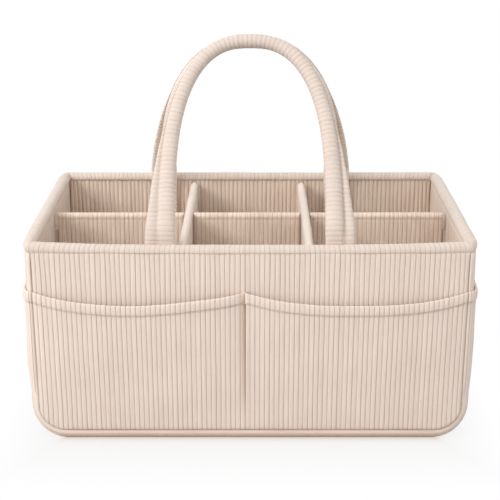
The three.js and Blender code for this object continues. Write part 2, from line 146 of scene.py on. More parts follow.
def dent(distance, spread):
    """One on a line of stitches, falling away on both sides of it."""
    return np.exp(-((distance / spread) ** 2))


def rounded(share):
    """A quarter circle: the height of a round edge at a share of the way in from it."""
    return np.sqrt(1 - (1 - np.clip(share, 0, 1)) ** 2)


def sag(across):
    """How far the front rim hangs at a place along it, as a share of the most."""
    return 1 - np.clip(np.abs(across) / half_width, 0, 1) ** sag_power


def seam_shift(up):
    """How far the side seams lean out at a height, as the walls spread towards the rim."""
    return seam_lean * np.clip((up - lower_corner) / (rim_low.z - lower_corner), 0, 1)


print("A 380 mm wall carries", rib_columns(2 * half_width)[0], "ribs")

# %% [markdown]
# ## Laying a cloth
# A piece of cloth is a flat grid that has been bent. One operator makes the grid, and a rule
# then says where each of its vertices goes. The same rule tells the sewing thread where the
# cloth's surface is. Working on whole arrays keeps tens of thousands of vertices quick.
# %% Lay a grid of cloth
weld_reach = 0.002 * mm


def lay_cloth(name, across, along, place, length, plain=0, shaded=False):
    """A mesh with a vertex for each pair of across and along, laid where place says.
    Its UV map counts ribs across and metres along; length is the metres in a step of one.
    Plain is the ribs at each side whose pile is brushed flat, without a groove. A shaded
    cloth also keeps a painted shade at each vertex, darker where it lies in a seam or a fold,
    as its place rule says."""
    bm = bmesh.new()
    bmesh.ops.create_grid(bm, x_segments=len(across) - 1, y_segments=len(along) - 1, size=1)
    mesh = bpy.data.meshes.new(name)
    bm.to_mesh(mesh)
    bm.free()
    flat = np.empty(len(mesh.vertices) * 3)
    mesh.vertices.foreach_get("co", flat)
    share = (flat.reshape(-1, 3) + 1) / 2
    u = across[np.rint(share[:, 0] * (len(across) - 1)).astype(int)]
    v = along[np.rint(share[:, 1] * (len(along) - 1)).astype(int)]
    mesh.vertices.foreach_set("co", np.column_stack(place(u, v)).ravel())
    if shaded:
        # painted shade: each vertex keeps how much darker its seam, fold or stitch line makes it
        painted_shade_values = mesh.attributes.new("shade", "FLOAT", "POINT")
        painted_shade_values.data.foreach_set("value", place(u, v, shade=True))
    vertex = np.empty(len(mesh.loops), int)
    mesh.loops.foreach_get("vertex_index", vertex)
    uv = mesh.uv_layers.new(name="ribs")
    ribs = np.clip(u[vertex], plain, across[-1] - plain)
    uv.data.foreach_set("uv", np.column_stack([ribs, v[vertex] * length]).ravel())
    return mesh


def weld(mesh, closed=False):
    """Joins vertices that meet, smooths the shading, and turns a closed shape's faces out."""
    bm = bmesh.new()
    bm.from_mesh(mesh)
    bmesh.ops.remove_doubles(bm, verts=bm.verts, dist=weld_reach)
    if closed:
        bmesh.ops.recalc_face_normals(bm, faces=bm.faces)
    for face in bm.faces:
        face.smooth = True
    bm.to_mesh(mesh)
    bm.free()
    return mesh


def turned(across, out, up, turn):
    """Places a wall drawn facing the front, -Y, after turning it about the upright axis."""
    x = across * math.cos(turn) + out * math.sin(turn)
    y = across * math.sin(turn) - out * math.cos(turn)
    return x, y, up


# %% [markdown]
# ## Round corners
# The rim goes round four corners and the side strip goes down, under and up again. Both follow
# one path of straight runs and round corners, so a single small class gives the point at any
# distance along such a path and at any reach from the centres that it turns about.
# %% A path with round corners
quarter = math.pi / 2


class RoundedPath:
    """Straight runs and round corners, given by the centres that the path turns about."""

    def __init__(self, centres, turns, radius):
        self.centres = np.array(centres)
        self.turns = np.array(turns)
        runs = np.hypot(*np.diff(self.centres, axis=0).T) + np.abs(np.diff(turns)) * radius
        self.stops = np.concatenate([[0], np.cumsum(runs)])
        self.length = self.stops[-1]

    def at(self, distance, reach):
        turn = np.interp(distance, self.stops, self.turns)
        across = np.interp(distance, self.stops, self.centres[:, 0]) + reach * np.cos(turn)
        up = np.interp(distance, self.stops, self.centres[:, 1]) + reach * np.sin(turn)
        return across, up


def side_path(top):
    """Down the left side, under the base and up the right side, in X and Z."""
    side = half_width - lower_corner
    centres = [(-side, top), (-side, lower_corner), (-side, lower_corner),
               (side, lower_corner), (side, lower_corner), (side, top)]
    turns = [2 * quarter, 2 * quarter, 3 * quarter, 3 * quarter, 4 * quarter, 4 * quarter]
    return RoundedPath(centres, turns, lower_corner)


print("Side strip", round(side_path(panel_high.z).length / mm), "mm long")

# %% [markdown]
# ## Writing shaders as sums
# A shader can be wired by hand, but arithmetic reads better as arithmetic. The class below
# wraps one socket and adds a Math node for each operator, so that a mask is written as an
# expression. Every other node is made by one method that takes its type and its settings.
# %% A shader socket with arithmetic
class Value:
    def __init__(self, finish, socket):
        self.finish = finish
        self.socket = socket

    def math(self, operation, *values):
        return self.finish.node("Math", {"operation": operation}, dict(enumerate(values)))

    def __add__(self, other):
        return self.math("ADD", self, other)

    def __sub__(self, other):
        return self.math("SUBTRACT", self, other)

    def __rsub__(self, other):
        return self.math("SUBTRACT", other, self)

    def __mul__(self, other):
        return self.math("MULTIPLY", self, other)

    def __pow__(self, other):
        return self.math("POWER", self, other)

    def __abs__(self):
        return self.math("ABSOLUTE", self)

    __radd__ = __add__
    __rmul__ = __mul__

    def fraction(self):
        return self.math("FRACT", self)

    def whole(self):
        return self - self.fraction()

    def at_least(self, other):
        return self.math("MAXIMUM", self, other)

    def wave(self):
        return self.math("SINE", self)


# %% A finish and its node maker
class Finish:
    """A material, with one method that makes its nodes."""

    def __init__(self, name, roughness, sheen):
        self.material = bpy.data.materials.new(name)
        self.material.use_nodes = True
        self.tree = self.material.node_tree
        self.shader = self.tree.nodes["Principled BSDF"]
        self.shader.inputs["Roughness"].default_value = roughness
        self.shader.inputs["Sheen Weight"].default_value = sheen
        self.shader.inputs["Sheen Roughness"].default_value = 0.45
        self.shader.inputs["Specular IOR Level"].default_value = 0.15

    def node(self, kind, settings=None, inputs=None, output=0):
        made = self.tree.nodes.new("ShaderNode" + kind)
        for setting, value in (settings or {}).items():
            setattr(made, setting, value)
        for socket, value in (inputs or {}).items():
            self.feed(made.inputs[socket], value)
        return Value(self, made.outputs[output])

    def feed(self, socket, value):
        if isinstance(value, Value):
            self.tree.links.new(value.socket, socket)
        else:
            socket.default_value = value

    def mix(self, share, first, second):
        """Blends two colours. The Mix node's colours are its sockets number 6 and 7."""
        colours = {0: share, 6: first, 7: second}
        return self.node("Mix", {"data_type": "RGBA"}, colours, output=2)

    def place(self):
        return self.node("TexCoord", output="Object")

    def part(self, vector, axis):
        return self.node("SeparateXYZ", None, {"Vector": vector}, output=axis)

    def chance(self, number):
        """A random number that is the same wherever the whole number is the same."""
        return self.node("TexWhiteNoise", {"noise_dimensions": "1D"}, {"W": number})

    def noise(self, scale, detail):
        inputs = {"Vector": self.place(), "Scale": scale, "Detail": detail}
        return self.node("TexNoise", None, inputs)

    def bump(self, height, distance, strength):
        inputs = {"Height": height, "Distance": distance, "Strength": strength}
        return self.node("Bump", None, inputs)

    def wear(self, colour, normal):
        self.feed(self.shader.inputs["Base Color"], colour)
        self.feed(self.shader.inputs["Normal"], normal)
        return self.material


# %% [markdown]
# ## Corduroy
# Each cord is brushed pile: matt, a little paler where the pile stands up, with fine rows of
# pile along the cord, and a painted shade darkens its colour down in the groove. The rows and
# the painted groove shade follow the cloth, so they read the rib count from the piece's UV
# map. What is random, the fluff and the marks of brushing, reads the place in the object
# instead, so that it doesn't repeat from rib to rib.
# Each vertex also carries a painted shade, which darkens the cloth towards brown where shade
# falls: in a seam or a fold, along a stitch line and where the base meets the floor. The walls,
# the rim, the two handles, the cross dividers and the lining wear the corduroy in their own
# ways; the rim and the front handle wear darker copies of it as painted shade, and the back
# handle a paler copy as painted light.
# %% The cloth's finish
pile_rows_per_rib = 4
# painted shade: the brown that seams, folds, stitch lines and the base's contact darken towards
painted_shade_brown = (0.3, 0.2, 0.135, 1)


def corduroy(name, crest, groove_shade, brushed, depth=1, grain=0.36):
    """Depth is the share of the painted groove shade that is kept, and grain is how far the
    lines of pile along the cords differ from each other."""
    finish = Finish(name, roughness=0.95, sheen=0.25)
    ribs = finish.node("UVMap", {"uv_map": "ribs"})
    across, along = finish.part(ribs, "X"), finish.part(ribs, "Y")
    side = abs(across.fraction() * 2 - 1)
    per_rib = finish.chance(across.whole())
    per_groove = finish.chance((across + 0.5).whole())
    openness = per_groove * 0.8 + finish.noise(60, 1) * 0.6 + 0.3
    # painted shade: how far down in a groove each point lies, varied from groove to groove
    groove_shade_share = side**rib_squareness * openness * depth
    stretched = finish.node("CombineXYZ", None, {"X": across * 5.3, "Y": along * 25})
    lines = finish.node("TexNoise", {"noise_dimensions": "2D"},
                        {"Vector": stretched, "Scale": 1, "Detail": 2})
    rows = (across * (2 * math.pi * pile_rows_per_rib) + per_rib * 3).wave()
    fluff = finish.noise(1500, 3)
    tufts = finish.noise(420, 2)
    marks = finish.noise(28, 3)
    height = fluff * 0.5 + tufts * 0.4 + rows * 0.2
    # painted shade: the cord's colour goes darker down in the groove, where shade falls
    colour = finish.mix(groove_shade_share, crest, groove_shade)
    colour = finish.mix((marks * 2.4 - 0.9) * 0.4, colour, brushed)
    shade = tufts * 0.2 + rows * 0.05 + per_rib * 0.14 + (lines * 2 - 0.9) * grain
    colour = finish.mix(shade, colour, finish.mix(0.5, groove_shade, brushed))
    # painted shade: the shade attribute darkens the colour towards brown in seams and folds
    painted_shade_share = finish.node("Attribute", {"attribute_name": "shade"}, output="Fac")
    colour = finish.mix(painted_shade_share, colour, painted_shade_brown)
    return finish.wear(colour, finish.bump(height, 0.35 * mm, 0.8))


cover_cloth = corduroy(
    "corduroy", (0.83, 0.715, 0.63, 1), (0.42, 0.31, 0.235, 1), (0.765, 0.645, 0.56, 1)
)
# painted shade: the front handle's corduroy made darker than the walls', with shallower grooves
shaded_handle_cloth = corduroy(
    "corduroy_shaded_copy", (0.72, 0.615, 0.545, 1), (0.45, 0.35, 0.28, 1), (0.67, 0.565, 0.495, 1),
    depth=0.6,
)
# painted shade: a darker copy of the walls' corduroy for the rim, which is cut from the same
# cloth
shaded_rim_cloth = corduroy(
    "corduroy_rim_shaded_copy", (0.73, 0.625, 0.55, 1), (0.38, 0.285, 0.22, 1), (0.68, 0.575, 0.5, 1),
    depth=0.9,
)
# painted light: the back handle's corduroy made paler than the walls', lighter where it stands
# in shade
lit_handle_cloth = corduroy(
    "corduroy_lit_copy", (0.9, 0.79, 0.71, 1), (0.52, 0.41, 0.33, 1), (0.85, 0.735, 0.655, 1),
    depth=0.6,
)
smooth_cloth = corduroy(
    "corduroy_smooth", (0.81, 0.69, 0.6, 1), (0.5, 0.39, 0.31, 1), (0.75, 0.63, 0.54, 1),
    depth=0.15, grain=0.2,
)
lining_cloth = corduroy(
    "corduroy_lining", (0.88, 0.73, 0.615, 1), (0.33, 0.225, 0.15, 1), (0.775, 0.635, 0.525, 1),
    grain=0.8,
)

# %% [markdown]
# ## Thread, foam, board and tape
# The thread is two strands twisted together, the foam has fine cells, the divider board is
# pressed felt and the tape is a mat of small loops. All are pale, so what tells them apart is
# the size and shape of their texture, and each has its own.
# %% Finishes of the small and hidden parts


def flecked(name, base, fleck, scale, sheen, depth):
    finish = Finish(name, roughness=0.85, sheen=sheen)
    grain = finish.noise(scale, 4)
    broad = finish.noise(scale / 12, 2)
    colour = finish.mix(grain * 0.9, base, fleck)
    colour = finish.mix(broad * 0.35, colour, fleck)
    return finish.wear(colour, finish.bump(grain, depth, 0.7))


def twisted_thread():
    finish = Finish("thread", roughness=0.6, sheen=0.3)
    place = finish.place()
    along = finish.part(place, "X") + finish.part(place, "Y") + finish.part(place, "Z")
    strands = (along * 7000).wave()
    shade = strands * 0.2 + 0.35
    colour = finish.mix(shade, (0.80, 0.67, 0.56, 1), (0.60, 0.47, 0.37, 1))
    return finish.wear(colour, finish.bump(strands, 0.1 * mm, 0.6))


thread = twisted_thread()
foam = flecked("foam", (0.88, 0.87, 0.82, 1), (0.80, 0.78, 0.72, 1), 1900, 0, 0.2 * mm)
felt_board = flecked("felt_board", (0.62, 0.58, 0.51, 1), (0.50, 0.46, 0.40, 1),
                     700, 0.1, 0.15 * mm)
hook_tape = flecked("hook_tape", (0.76, 0.66, 0.57, 1), (0.62, 0.5, 0.42, 1),
                    1300, 0.1, 0.4 * mm)
loop_tape = flecked("loop_tape", (0.76, 0.65, 0.56, 1), (0.64, 0.53, 0.44, 1),
                    900, 0.5, 0.5 * mm)
print("Finishes:", sorted(material.name for material in bpy.data.materials))

# %% [markdown]
# ## Putting a piece in the scene
# Each finished piece gets its finish, rides on a body of the frame when it is given one and
# hides the plain CAD solid that it stands for. Cloth has two sides, so an open sheet is given
# its thickness by a Solidify modifier, which keeps the ribs on both faces.
# %% Show a piece
sheet_thickness = 1.1 * mm


def show(mesh, material, body=None, stands_for=()):
    piece = bpy.data.objects.new(mesh.name, mesh)
    bpy.context.scene.collection.objects.link(piece)
    mesh.materials.append(material)
    if body:
        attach(piece, body)
    if stands_for:
        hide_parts(*stands_for)
    print(mesh.name, "has", len(mesh.polygons), "faces")
    return piece


def thicken(piece):
    modifier = piece.modifiers.new("thickness", "SOLIDIFY")
    modifier.thickness = sheet_thickness
    modifier.offset = -1
    return piece


# %% [markdown]
# ## Front and back panels, and their linings
# A panel is a flat cut with square upper and round lower corners, sewn to the side strip all
# round. The seam pulls its edge in, and a painted seam shade darkens it, which is why a dark
# line frames the panel. The grid's lower row follows the round corners, so the outline needs
# no trimming, and the same maker cuts the linings, which face inwards.
# %% Wall panels
seam_depth = 1.3 * mm
seam_spread = 1.3 * mm
# Darkness of the painted shade along the seams
seam_shade = 0.55
shade_spread = 0.8 * mm
seam_end = 7 * mm
rim_groove = 0.3 * mm
rim_groove_spread = 0.8 * mm
front_edge_sag = 0.7 * mm
back_lining_rise = 2.4 * mm
panel_slack = 0.35 * mm
rib_sway = 0.3 * mm
panel_half = panel_high.x


def round_bottom(across, half):
    """Height of a cut's lower edge, which is round at its two corners."""
    radius = lower_corner - (half_width - half)
    past = np.maximum(np.abs(across) - (half - radius), 0)
    return lower_corner - np.sqrt(np.maximum(radius**2 - past**2, 0))


def seam_shade_across_ribs(u):
    """Where a painted seam shade crosses the ribs it is darkest in the grooves."""
    return 0.7 + 0.6 * np.abs(2 * (u % 1) - 1) ** 3


def panel_place(turn, reach, half, top, count, hang):
    def place(u, v, shade=False):
        across = (2 * u / count - 1) * half
        bottom = round_bottom(across, half)
        end = top - hang * sag(across)
        up = bottom + (end - bottom) * v
        edge = np.minimum(half - np.abs(across), up - bottom)
        # painted shade: darker along the seam at the panel's edge, most in the grooves
        if shade:
            return seam_shade * dent(edge, shade_spread) * seam_shade_across_ribs(u)
        sway = rib_sway * np.sin(up * 47 + u * 0.9)
        sway = sway + across / half * seam_shift(up) * (reach > 0)
        out = rib_lift(u) + panel_slack * ripple(across, up)
        out = out - seam_depth * dent(edge, seam_spread) * np.clip((end - up) / seam_end, 0, 1)
        out = out - rim_groove * dent(end - up, rim_groove_spread)
        return turned(across + sway, reach + out, up, turn)

    return place


panel_rows = np.concatenate([[0, 0.004, 0.009, 0.016], np.linspace(0.03, 0.97, 38),
                             [0.98, 0.986, 0.992, 0.996, 1]])


def wall_panel(name, turn, reach, half, top, shares, hang):
    count, columns = rib_columns(2 * half, shares)
    place = panel_place(turn, reach, half, top, count, hang)
    return weld(lay_cloth(name, columns, panel_rows, place, top, shaded=True))


for side, turn in (("front", 0), ("back", math.pi)):
    hang = 0 if turn else front_edge_sag
    panel = wall_panel(side + "_panel", turn, half_depth, panel_half, rim_low.z + gap,
                       close_shares, hang)
    panel = thicken(show(panel, cover_cloth, "caddy", [side + "_cover"]))
    lining = wall_panel(side + "_inner_panel", turn + math.pi, -lining_face, lining_high.x,
                        rim_low.z + back_lining_rise + gap, wide_shares,
                        back_lining_rise if hang else 0)
    lining = thicken(show(lining, lining_cloth, "caddy", [side + "_lining"]))

# %% [markdown]
# ## The side strip
# One strip of cloth covers both sides and the base. Its long edges roll round the foam to meet
# the panels, and there they make the plump pale edge that frames the front. The strip's
# section is a flat middle with a quarter of an ellipse at each side, deep up the sides of the
# caddy and short under its base, and it is carried along the side path.
# %% Side strip
roll_fullness = 0.3 * mm
roll_middle = 6 * mm
roll_run = 22 * mm
base_depth = 4.5 * mm
# How high above the floor the painted contact shadow on the strip reaches
contact_height = 2.8 * mm
strip_slack = 0.15 * mm
roll_spread = 4 * mm
corner_brushing = 2.8
strip_flat = 2 * (half_depth - roll_depth)
strip_width = strip_flat + 2 * roll_run
strip_path = side_path(rim_low.z + gap)
strip_count, strip_columns = rib_columns(strip_width)


def strip_section(along, height):
    """Y, the distance in from the side, and how far the two rolls have turned, in radians.
    Up the sides the rolls are deep from front to back, and at the base they are round."""
    near = np.clip(along / roll_run, 0, 1) * quarter
    far = np.clip((along - roll_run - strip_flat) / roll_run, 0, 1) * quarter
    depth = base_depth + (roll_depth - base_depth) * np.clip(height / lower_corner, 0, 1)
    y = (2 * np.clip((along - roll_run) / strip_flat, 0, 1) - 1) * (half_depth - depth)
    y = y + depth * (np.sin(far) - np.cos(near))
    roll = edge_roll - seam_shift(height)
    return y, roll * (2 - np.sin(near) - np.cos(far)), near, far


def strip_place(u, v, shade=False):
    along = u / strip_count * strip_width
    height = strip_path.at(v, lower_corner)[1]
    y, inset, near, far = strip_section(along, height)
    edge = np.minimum(along, strip_width - along)
    # painted shade: darker along the strip's seams, and a painted contact shadow low on the base
    if shade:
        up = strip_path.at(v, lower_corner - inset)[1]
        painted_contact_shadow = np.clip(1 - up / contact_height, 0, 1)
        return np.maximum(seam_shade * dent(edge, shade_spread), painted_contact_shadow)
    climb = np.clip(height / lower_corner, 0, 1)
    out = rib_lift(u) * (1 - corner_brushing * climb * (1 - climb))
    out = out * np.clip((edge - roll_middle) / roll_middle, 0.1, 1)
    out = out + roll_fullness * dent(edge - roll_middle, roll_spread)
    from_end = np.minimum(v, strip_path.length - v)
    out = out - seam_depth * dent(edge, seam_spread) * np.clip(from_end / seam_end, 0, 1)
    out = out + strip_slack * ripple(y, v) - rim_groove * dent(from_end, rim_groove_spread)
    y = y + out * (np.sin(far) - np.cos(near))
    x, z = strip_path.at(v, lower_corner - inset + out * np.sin(near) * np.cos(far))
    return x, y, np.maximum(z, 0)


def path_rows(path, straight_step, corner_steps):
    """Distances along a path, close together round its corners."""
    rows = []
    for start, end, turn in zip(path.stops[:-1], path.stops[1:], np.diff(path.turns)):
        steps = corner_steps if turn else max(1, round((end - start) / straight_step))
        rows.append(np.linspace(start, end, steps + 1)[:-1])
    return np.append(np.concatenate(rows), path.length)


strip_rows = path_rows(strip_path, 6.5 * mm, 8)
strip = lay_cloth("side_strip", strip_columns, strip_rows, strip_place, 1, 1.5, shaded=True)
strip = thicken(show(weld(strip), cover_cloth, "caddy", ["gusset_cover"]))

# %% [markdown]
# ## The inner strip
# Inside, a second strip lines the sides and the floor of the caddy. It faces inwards, so it
# follows the same kind of path the other way round, at the radius that the wall leaves.
# %% Inner strip
inner_path = side_path(side_lining_high.z)
inner_half = side_lining_high.y
inner_count, inner_columns = rib_columns(2 * inner_half, wide_shares)


def inner_place(u, v):
    y = (2 * u / inner_count - 1) * inner_half
    out = rib_lift(u) + panel_slack * ripple(y, v)
    x, z = inner_path.at(inner_path.length - v, lower_corner - wall - out)
    return x, y, z


inner_rows = path_rows(inner_path, 8 * mm, 7)
inner = lay_cloth("inner_strip", inner_columns, inner_rows, inner_place, 1)
inner = thicken(show(weld(inner), lining_cloth, "caddy", ["gusset_lining"]))

# %% [markdown]
# ## The rim
# A strip of the cover cloth is folded over the top of the walls and sewn through just above
# its lower edges. The stitches pull it in, so it stands up between them as a soft roll, and
# its ribs run over the top. The strip's section is a rule of how far it has gone from the
# outer edge, over the crown and down inside, and it is carried round the rim's path.
# %% Rim
rim_corner = 11.3 * mm
rim_width = 10.9 * mm
rim_crown = 5 * mm
rim_stand = 0.1 * mm
rim_bulge = 0.4 * mm
rim_stitch = 0.5 * mm
rim_sag = 3.4 * mm
rim_rib_share = 0.5
rim_lean = 1.1 * mm
rim_soft = 7 * mm
rim_depth = 22 * mm
rim_sink = 0.25 * mm
rim_unevenness = 0.3 * mm
# Darkness of the painted shade along the rim's stitch lines
rim_stitch_shade = 0.15
stitch_shade_spread = 0.6 * mm
rim_half = rim_high.x
corner_x = rim_half - rim_corner
corner_y = half_depth - rim_corner
stretch_x = (rim_half - rim_soft) / corner_x
stretch_y = (half_depth - rim_depth) / corner_y
rim_centres = [(-corner_x, -corner_y), (corner_x, -corner_y), (corner_x, -corner_y),
               (corner_x, corner_y), (corner_x, corner_y), (-corner_x, corner_y),
               (-corner_x, corner_y), (-corner_x, -corner_y), (-corner_x, -corner_y)]
rim_path = RoundedPath(rim_centres, [-quarter, -quarter, 0, 0, quarter, quarter, math.pi,
                                     math.pi, 3 * quarter], rim_corner)
panel_pitch = 2 * (panel_half + seam_lean) / rib_columns(2 * panel_half)[0]
rim_count = round(rim_path.length / panel_pitch * stretch_x)
rim_columns = columns_of(rim_count)
rim_start = (panel_half + seam_lean - rim_half + rim_soft) / panel_pitch
rim_face = rim_high.z - rim_crown - rim_low.z


def rim_place(u, v, lift=None, shade=False):
    """v runs from 0 to 1 up the outer face, to 2 over the crown and to 3 down inside.
    Round a corner the inner edge turns sharply and the outer one on the strip's deep roll."""
    distance = (u - rim_start) / rim_count * rim_path.length % rim_path.length
    over = np.clip(v - 1, 0, 1) * math.pi
    at_edge = np.where(v < 1.5, 1 - np.clip(v, 0, 1), np.clip(v, 2, 3) - 2)
    inner_edge = back_lining_rise * (v > 1.5)
    from_edge = (1 - at_edge) * (rim_face - inner_edge)
    inset = rim_width / 2 * (1 - np.cos(over))
    up = rim_low.z + inner_edge + from_edge + rim_crown * np.sin(over)
    on_face = (v <= 1) | (v >= 2)
    # painted shade: darker along the rim's two stitch lines
    if shade:
        stitched = dent(from_edge - rim_stitch, stitch_shade_spread)
        return rim_stitch_shade * stitched * on_face * seam_shade_across_ribs(u)
    out = rib_lift(u) * rim_rib_share if lift is None else lift
    bulge = rim_bulge * np.sin(quarter * (1 - at_edge))
    bulge = bulge + rim_unevenness * np.sin(distance * 71) * np.sin(distance * 33)
    out = out + rim_stand + bulge * (1 - np.clip(v - 1, 0, 1))
    out = out - rim_groove * dent(from_edge, rim_groove_spread) * on_face
    out = out - (rim_width - wall) * at_edge**6 * (v > 1.5)
    turn = np.interp(distance, rim_path.stops, rim_path.turns)
    out = out - (rim_lean * at_edge * np.cos(turn) ** 2 + rim_sink * at_edge**4) * (v < 1.5)
    x, y = rim_path.at(distance, 0)
    share = 1 - inset / rim_corner
    x = x + (x * (stretch_x - 1) + rim_soft * np.cos(turn)) * share
    y = y + (y * (stretch_y - 1) + rim_depth * np.sin(turn)) * share
    x = x + out * np.cos(over) * np.cos(turn)
    y = y + out * np.cos(over) * np.sin(turn)
    edge_hang = np.where(v < 1.5, front_edge_sag, back_lining_rise)
    hang = edge_hang * at_edge + rim_sag * (1 - at_edge)
    front = np.clip((-y - corner_y) / rim_crown + 1, 0, 1)
    return x, y, up + out * np.sin(over) - hang * sag(x) * front


face_rows = np.array([0, 0.08, 0.18, 0.3, 0.5, 0.75])
rim_rows = np.concatenate([face_rows, np.linspace(1, 2, 12), 3 - face_rows[::-1]])
rim = weld(lay_cloth("rim_strip", rim_columns, rim_rows, rim_place, rim_width, shaded=True))
rim = thicken(show(rim, shaded_rim_cloth, "caddy", ["rim_binding"]))

# %% [markdown]
# ## Pockets
# Each pocket is one sheet sewn into the edge seams, with a folded hem at its top. Between the
# seams it stands away from the wall and its hem dips. The front and back sheets are also sewn
# down near the middle, which makes a valley with a small fold beside it. The grid runs up the
# sheet, over the hem's edge and a little way down behind, so the hem has a real thickness.
# %% Pocket sheets
pocket_end = 134 * mm
pocket_dip = 10.3 * mm
dip_power = 2.5
middle_dip_power = 1.4
hem_height = 10 * mm
hem_fold = 0.7 * mm
hem_radius = (cloth + hem_fold) / 2
hem_bulge = 0.5 * mm
hem_stitch = 0.9 * mm
pocket_stand = 6 * mm
side_pocket_bay = 105 * mm
valley_at = -3.4 * mm
valley_edge = 0.12 * mm
valley_reach = 7 * mm
valley_depth = 1.4 * mm
valley_low = 20 * mm
fold_stand = 3.3 * mm
side_sink = 0.5 * mm
side_sink_run = 30 * mm
# painted shade in the middle valley beside the fold: its darkness, width and climb
valley_shade = 0.22
valley_shade_reach = 4.4 * mm
valley_shade_run = 25 * mm
fold_run = 6 * mm
hem_step = 0.5 * mm
hem_stitch_depth = 0.7 * mm
# Darkness of the painted shade along the hem's stitch line
hem_stitch_shade = 0.3
pocket_slack = 0.6 * mm
slack_run = 15 * mm
rise_power = 0.75
stand_power = 3
middle_stand_power = 8
fold_columns = np.array([-0.16, -0.08, -0.03, 0, 0.03, 0.08])
hem_rows = np.concatenate([
    [0, 0.006, 0.013, 0.025], np.linspace(0.05, 0.95, 22),
    [0.975, 0.99, 0.997, 1.03, 1.06, 1.1, 1.14, 1.19, 1.28, 1.5, 1.75],
    np.linspace(2, 3, 7), [3.2, 3.5, 3.8, 4],
])


def fullness(share, power):
    """One in the middle of a bay, falling to zero at its two seams."""
    return 1 - np.abs(2 * share - 1) ** power


def pocket_place(turn, reach, half, seams, count, valley):
    def place(u, v, lift=None, shade=False):
        across = (2 * u / count - 1) * half
        bay = np.interp(across, seams, np.arange(len(seams)))
        share = bay % 1
        bottom = round_bottom(across, half) if valley else lower_corner + gap
        left_of_valley = valley * (bay > 0.5) * (bay < 1)
        power = dip_power + (middle_dip_power - dip_power) * left_of_valley
        top = pocket_end - pocket_dip * fullness(share, power)
        hem_low = top - hem_height
        over = np.clip(v - 2, 0, 1) * math.pi
        up = bottom + (hem_low - bottom) * np.clip(v, 0, 1)
        up = up + (hem_height - hem_radius) * (np.clip(v - 1, 0, 1) - np.clip(v - 3, 0, 1))
        rising = np.clip((up - bottom) / (top - bottom), 0, 1)
        to_middle = valley * (np.abs(bay - 1) < 0.5)
        power = stand_power + (middle_stand_power - stand_power) * to_middle * rising
        behind = gap + pocket_stand * fullness(share, power) * rising**rise_power
        hem = np.clip((up - hem_low) / hem_step, 0, 1) * (v > 1)
        front = cloth + hem_fold * hem * hem * (3 - 2 * hem)
        front = front + hem_bulge * np.sin(np.clip(v - 1, 0, 1) * math.pi)
        front = front - hem_stitch_depth * dent(up - hem_low - hem_stitch, hem_step) * (v <= 2)
        front = np.where(v <= 2, front, hem_radius * (1 + np.cos(over)))
        edge = np.minimum(half - np.abs(across), np.maximum(up - bottom, 0))
        ribs = rib_lift(u) if lift is None else lift
        ribs = ribs * np.interp(v, [0, 2, 2.5, 3], [1, 1, 0.7, 0.3])
        slack = pocket_slack * ripple(across * 1.3, up) * np.clip(edge / slack_run, 0, 1)
        past = across - valley_at
        # painted shade: darker in the middle valley, along the hem's stitch line and along the
        # seams
        if shade:
            in_valley = np.clip(1 + past / valley_shade_reach, 0, 1) ** 0.3 * (past <= 0)
            climb = np.clip((up - valley_low) / valley_shade_run, 0, 1)
            in_valley = in_valley * climb * (v < 1.9)
            stitched = dent(up - hem_low - hem_stitch, stitch_shade_spread)
            stitched = hem_stitch_shade * stitched * (v > 0.9) * (v < 1.9)
            seams_shade = seam_shade * dent(edge, shade_spread) * seam_shade_across_ribs(u)
            return np.maximum(seams_shade, valley * valley_shade * in_valley + stitched)
        fold_side = 1 / (1 + np.exp(-np.clip(past / valley_edge, -30, 30)))
        near = np.clip(1 + past / valley_reach, 0, 1) ** 1.5
        pinch = valley_depth * near * (1 - fold_side)
        pinch = pinch - fold_stand * fold_side * np.exp(-np.maximum(past, 0) / fold_run)
        pinch = pinch * valley * np.clip((up - valley_low) / (pocket_end / 2), 0, 1) ** 0.7
        out = behind + front + slack - pinch - seam_depth * dent(edge, seam_spread)
        out = out + ribs * np.cos(over)
        up = up + (hem_radius + ribs) * np.sin(over)
        if valley:
            return turned(across * (1 + seam_shift(up) / half), reach + out, up, turn)
        out = (out + side_sink) * np.clip((up - bottom) / side_sink_run, 0, 1) - side_sink
        y, inset, near, far = strip_section(across + half, up)
        y = y + out * (np.sin(far) - np.cos(near))
        return turned(y, reach - inset + out * np.sin(near) * np.cos(far), up, turn)

    return place


def pocket_sheet(name, turn, reach, half, seams, valley, stands_for):
    count, columns = rib_columns(2 * half)
    if valley:
        at_fold = (valley_at / half + 1) / 2 * count
        columns = np.sort(np.append(columns, at_fold + fold_columns))
    place = pocket_place(turn, reach, half, seams, count, valley)
    sheet = weld(lay_cloth(name, columns, hem_rows, place, pocket_end, shaded=True))
    sheet = thicken(show(sheet, cover_cloth, "caddy", [stands_for]))
    return place, count


pocket_rules = {}
for side, turn in (("front", 0), ("back", math.pi)):
    pocket_rules[side] = pocket_sheet(
        side + "_pocket_sheet", turn, half_depth, panel_half,
        (-panel_half, valley_at, panel_half), True, side + "_pockets",
    )
for side, turn in (("right", math.pi / 2), ("left", -math.pi / 2)):
    pocket_rules[side] = pocket_sheet(
        side + "_pocket_sheet", turn, half_width, strip_width / 2,
        (-side_pocket_bay, side_pocket_bay), False, side + "_pocket",
    )

